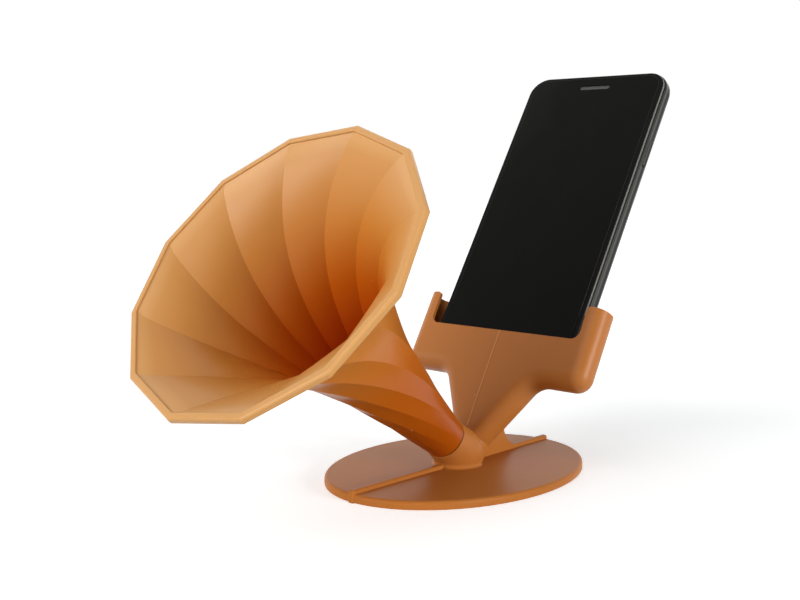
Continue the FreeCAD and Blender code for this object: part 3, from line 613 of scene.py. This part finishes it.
for node, name, colour, specular, edge_highlight_colour in (
        ("phone_front_glass", "front_glass", (0.0024, 0.0024, 0.0020), 0.07, (0.17, 0.17, 0.155)),
        ("phone_screen_guard", "guard_glass", (0.0020, 0.0020, 0.0015), 0.06, (0.022, 0.022, 0.020)),
        ("phone_back_cover", "back_glass", (0.0060, 0.0062, 0.0070), 0.35, (0.030, 0.031, 0.034))):
    glass = sheet_glass(name, colour, specular)
    painted_edge_highlight(glass, edge_highlight_colour)
    dress(node, glass)

# Display panel. A black laminate bonded behind the glass, with a foil on its back.
panel_layers = fine_finish("panel_layers", (0.004, 0.004, 0.005), (0.008, 0.008, 0.010),
                           size=900, roughness=0.25, grain=0.05)
foil_side = where(panel_layers, "Y", middle=0.0024, half=0.0003)
paint_over(panel_layers, foil_side, Base_Color=(0.16, 0.155, 0.15), Roughness=0.42)
dress("phone_display_panel", panel_layers)

# Band, keys and switch. Black anodised metal, blasted and then dyed. Band and keys carry a bright
# painted highlight along their crown, and painted shade towards the front and the back.
metal_shine = 0.12
band_depth = 0.0077
crown_highlight_greys = ((0.0, 0.006), (0.12, 0.008), (0.26, 0.026), (0.38, 0.085), (0.50, 0.020), (0.66, 0.005),
               (1.0, 0.005))
crown_tint = (1, 0.98, 0.88)
band_metal = fine_finish("band_metal", (0.020, 0.0195, 0.017), (0.030, 0.029, 0.026),
                         size=3800, roughness=0.28, dulled_by=0.12, grain=0.12, metal=0.35)
key_metal = fine_finish("key_metal", (0.018, 0.0175, 0.0155), (0.028, 0.027, 0.024),
                        size=4200, roughness=0.24, grain=0.08, stretch=(1, 1, 6), metal=0.35)
for finish in (band_metal, key_metal):
    tree = finish.node_tree
    feed(surface_of(finish)["Specular IOR Level"], metal_shine)
    depth = add_node(tree, "ShaderNodeSeparateXYZ", {0: place_of(finish)}).outputs["Y"]
    across = rescale(tree, depth, start=0, end=band_depth)
    # Painted highlight along the crown, painted shade towards front and back.
    for label, strength in (("Colour", 1.0), ("Deep colour", 1.3)):
        painted_greys = [(at, tuple(grey * strength * part for part in crown_tint)) for at, grey in crown_highlight_greys]
        feed(tree.nodes["skin"].inputs[label], colours_along(tree, across, painted_greys))
dress("phone_frame", band_metal)
for node in ("phone_power_button", "phone_volume_up", "phone_volume_down"):
    dress(node, key_metal)
switch_metal = fine_finish("switch_metal", (0.022, 0.021, 0.019), (0.034, 0.033, 0.030),
                           size=3000, roughness=0.30, grain=0.10, metal=0.35)
outer_face = where(switch_metal, "X", middle=-0.0357, half=0.00012)
paint_over(switch_metal, outer_face, Base_Color=(0.050, 0.049, 0.045))
dress("phone_mute_switch", switch_metal)

# Earpiece mesh. Woven steel wire, dyed dark, seen through the slot in both glasses.
ear_wire = fine_finish("ear_wire", (0.050, 0.050, 0.046), (0.075, 0.074, 0.068),
                       size=5000, roughness=0.42, metal=0.5, grain=0.1)
weave = 0.00022
holes = both_of(stripes(ear_wire, "X", weave, share=0.38), stripes(ear_wire, "Z", weave, share=0.38))
paint_over(ear_wire, holes, Base_Color=(0.006, 0.006, 0.006))
dress("phone_earpiece_mesh", ear_wire)

# Listening capsule and loudspeaker. Black glass filled plastic boxes, each with a
# thin metal lid; the loudspeaker carries a row of pressed ribs.
capsule_shell = fine_finish("capsule_shell", (0.010, 0.010, 0.011), (0.020, 0.020, 0.020),
                            size=2200, roughness=0.5, grain=0.35)
lid = where(capsule_shell, "Y", middle=0.0045, half=0.0005)
paint_over(capsule_shell, lid, Base_Color=(0.46, 0.45, 0.43), Roughness=0.30, Metallic=1.0)
dress("phone_earpiece", capsule_shell)
speaker_shell = fine_finish("speaker_shell", (0.011, 0.011, 0.012), (0.022, 0.022, 0.023),
                            size=1800, roughness=0.52, grain=0.4)
ribs = both_of(stripes(speaker_shell, "X", pitch=0.0016, share=0.3),
               where(speaker_shell, "Z", middle=0.0140, half=0.0045))
paint_over(speaker_shell, ribs, Base_Color=(0.045, 0.045, 0.047))
speaker_lid = both_of(where(speaker_shell, "X", middle=0.0205, half=0.0075),
                      where(speaker_shell, "Z", middle=0.0075, half=0.0016))
paint_over(speaker_shell, speaker_lid, Base_Color=(0.50, 0.40, 0.20), Metallic=1.0)
dress("phone_bottom_speaker", speaker_shell)

# Cameras. Black moulded housings with a coated eye; the rear one sits in a turned
# metal ring under a clear coated glass, and beside it is the flash's pale lens.
small_camera = fine_finish("small_camera", (0.008, 0.008, 0.009), (0.016, 0.016, 0.017),
                           size=2600, roughness=0.45)
front_eye = round_spot(small_camera, across=0.0126, up=phone_length - 0.0073, radius=0.00075)
paint_over(small_camera, front_eye, Base_Color=(0.010, 0.008, 0.030), Roughness=0.05)
dress("phone_front_camera", small_camera)
rear_across = 0.0235
rear_up = phone_length - 0.0120
rear_housing = fine_finish("rear_housing", (0.012, 0.012, 0.013), (0.024, 0.024, 0.025),
                           size=2400, roughness=0.48, grain=0.25)
lens_rings = both_of(round_spot(rear_housing, rear_across, rear_up, radius=0.0022),
                     where(rear_housing, "Y", middle=0.0072, half=0.0012))
paint_over(rear_housing, lens_rings, Base_Color=(0.008, 0.006, 0.024), Roughness=0.06)
dress("phone_rear_camera", rear_housing)
ring_metal = fine_finish("ring_metal", (0.060, 0.059, 0.057), (0.110, 0.108, 0.104),
                         size=3600, roughness=0.22, dulled_by=0.08, grain=0.06, metal=0.9)
dress("phone_camera_ring", ring_metal)
lens_glass = fine_finish("lens_glass", (0.004, 0.004, 0.007), (0.007, 0.006, 0.012),
                         size=300, roughness=0.04, dulled_by=0.03, grain=0.0)
feed(surface_of(lens_glass)["Coat Weight"], 1.0)
feed(surface_of(lens_glass)["Coat Tint"], (0.80, 0.85, 1.0))
lens_eye = round_spot(lens_glass, rear_across, rear_up, radius=0.0019)
paint_over(lens_glass, lens_eye, Base_Color=(0.012, 0.006, 0.034))
dress("phone_camera_glass", lens_glass)
flash_lens = fine_finish("flash_lens", (0.62, 0.60, 0.55), (0.74, 0.72, 0.68),
                         size=700, roughness=0.18, grain=0.05)
flash_lamp = round_spot(flash_lens, across=0.0136, up=rear_up, radius=0.0009)
paint_over(flash_lens, flash_lamp, Base_Color=(0.80, 0.62, 0.10))
dress("phone_flash", flash_lens)

# Battery. A pouch in dark foil wrap with a paper strip and a folded, taped head.
wrap_foil = fine_finish("wrap_foil", (0.026, 0.026, 0.028), (0.050, 0.050, 0.053), size=120,
                        roughness=0.34, dulled_by=0.18, grain=0.5, stretch=(1, 1, 2), metal=0.3)
tape = where(wrap_foil, "Z", middle=0.1155, half=0.0028)
paint_over(wrap_foil, tape, Base_Color=(0.50, 0.33, 0.05))
paper_strip = where(wrap_foil, "Z", middle=0.0270, half=0.0016)
paint_over(wrap_foil, paper_strip, Base_Color=(0.40, 0.39, 0.36))
dress("phone_battery", wrap_foil)

# Logic board. A dark solder masked board with copper tracks under the mask, gold
# pads between them, and pressed tin plated cans over the circuits.
board_mask = fine_finish("board_mask", (0.006, 0.022, 0.014), (0.010, 0.034, 0.020),
                         size=1500, roughness=0.32, grain=0.1)
tree = board_mask.node_tree
track_pitch = 0.09
track_gap = 0.055
bends = add_node(tree, "ShaderNodeTexVoronoi", {"Vector": place_of(board_mask), "Scale": 420},
                 distance="MANHATTAN").outputs["Distance"]
tracks = calculate(tree, "PINGPONG", bends, track_pitch)
on_track = calculate(tree, "GREATER_THAN", tracks, track_gap)
paint_over(board_mask, on_track, Base_Color=(0.020, 0.060, 0.034))
pads = both_of(stripes(board_mask, "X", pitch=0.0021, share=0.16),
               stripes(board_mask, "Z", pitch=0.0017, share=0.16))
paint_over(board_mask, pads, Base_Color=(0.66, 0.46, 0.14))
cans = where(board_mask, "Y", middle=0.0052, half=0.0011)
paint_over(board_mask, cans, Base_Color=(0.52, 0.52, 0.50), Metallic=1.0, Roughness=0.36)
dress("phone_logic_board", board_mask)

# Vibration motor and charging port. Bright pressed steel; the port's tongue is
# black plastic with a row of gold contacts.
motor_steel = fine_finish("motor_steel", (0.50, 0.50, 0.49), (0.60, 0.60, 0.58),
                          size=3200, roughness=0.26, grain=0.12, stretch=(1, 1, 9), metal=1.0)
dress("phone_vibration_motor", motor_steel)
port_steel = fine_finish("port_steel", (0.48, 0.48, 0.47), (0.58, 0.58, 0.56),
                         size=3400, roughness=0.24, grain=0.1, stretch=(1, 1, 7), metal=1.0)
tongue = both_of(where(port_steel, "X", middle=0, half=0.0033),
                 where(port_steel, "Y", middle=0.0049, half=0.0004))
paint_over(port_steel, tongue, Base_Color=(0.012, 0.012, 0.012), Metallic=0.0)
contact_tips = where(port_steel, "Z", middle=0.0035, half=0.0013)
contacts = both_of(both_of(tongue, stripes(port_steel, "X", pitch=0.0008, share=0.5)), contact_tips)
paint_over(port_steel, contacts, Base_Color=(0.72, 0.50, 0.16), Metallic=1.0)
dress("phone_charge_port", port_steel)

# End screws. Bright turned steel; the floor of the recess for the driver is painted dark, painted shade.
screw_steel = fine_finish("screw_steel", (0.44, 0.44, 0.43), (0.56, 0.56, 0.54),
                          size=5200, roughness=0.22, grain=0.15, stretch=(6, 1, 1), metal=1.0)
recess_shade = where(screw_steel, "Z", middle=0.0007, half=0.00018)
paint_over(screw_steel, recess_shade, Base_Color=(0.05, 0.05, 0.05))
for node in ("phone_screw_left", "phone_screw_right"):
    dress(node, screw_steel)

# Card and tray. The tray is milled from the band's metal; the card is white plastic
# with eight gold contacts.
tray_metal = fine_finish("tray_metal", (0.021, 0.0205, 0.018), (0.032, 0.031, 0.027),
                         size=3600, roughness=0.27, grain=0.12, stretch=(5, 1, 1), metal=0.35)
dress("phone_sim_tray", tray_metal)
card_plastic = fine_finish("card_plastic", (0.74, 0.74, 0.72), (0.80, 0.80, 0.78),
                           size=1600, roughness=0.38, grain=0.1)
pad_patch = both_of(where(card_plastic, "X", middle=-0.0253, half=0.0046),
                    where(card_plastic, "Y", middle=0.0061, half=0.0002))
pad_patch = both_of(pad_patch, where(card_plastic, "Z", middle=0.0770, half=0.0036))
paint_over(card_plastic, pad_patch, Base_Color=(0.76, 0.56, 0.20), Metallic=1.0)
pad_gaps = both_of(stripes(card_plastic, "Z", pitch=0.0023, share=0.08),
                   stripes(card_plastic, "X", pitch=0.0030, share=0.06), "MAXIMUM")
paint_over(card_plastic, both_of(pad_patch, pad_gaps), Base_Color=(0.30, 0.24, 0.12))
dress("phone_sim_card", card_plastic)
